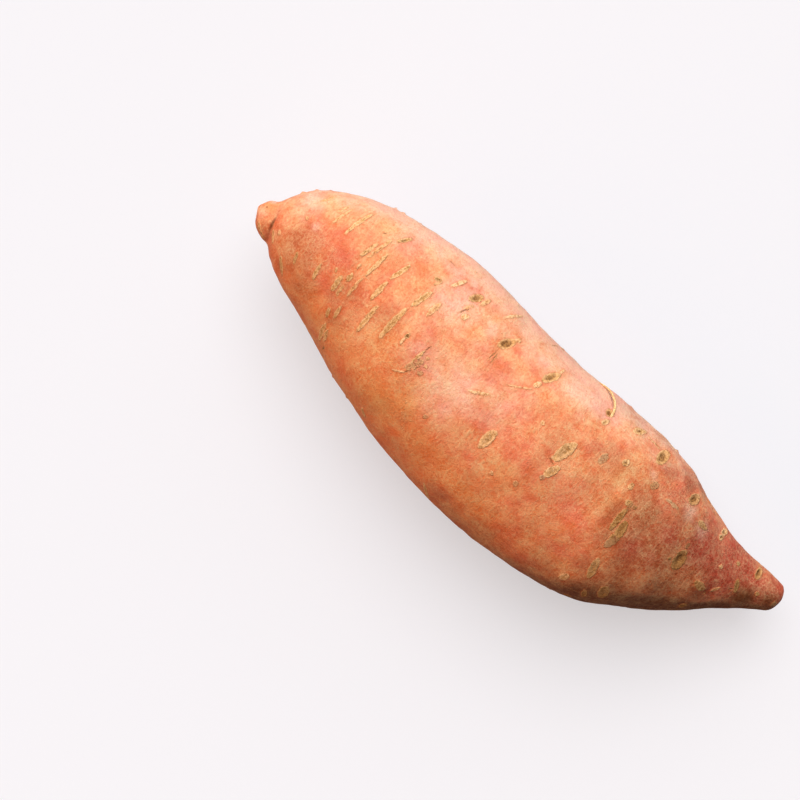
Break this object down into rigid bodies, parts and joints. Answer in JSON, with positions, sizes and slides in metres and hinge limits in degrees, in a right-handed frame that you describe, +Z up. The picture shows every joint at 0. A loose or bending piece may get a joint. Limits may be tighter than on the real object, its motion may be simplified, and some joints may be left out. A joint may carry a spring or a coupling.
{
  "type": "sweet potato",
  "caption": "Whole raw sweet potato: a tapered, slightly bowed root with a stem stub, a blunt root tip and shallow eyes, lying on its side.",
  "frame": {"origin": "middle of the bounding box's bottom, on the surface that the root rests on", "axes": "+X along the root from the stem stub to the root tip, +Y across it towards the hollow side of its bow, +Z up"},
  "size_m": [0.2, 0.0654, 0.0572],
  "materials": {
    "skin": "dry salmon-orange root skin, finely mottled, with tan cork scars and dark eyes"
  },
  "bodies": {
    "root": {"sweet_potato": "skin"}
  },
  "joints": []
}
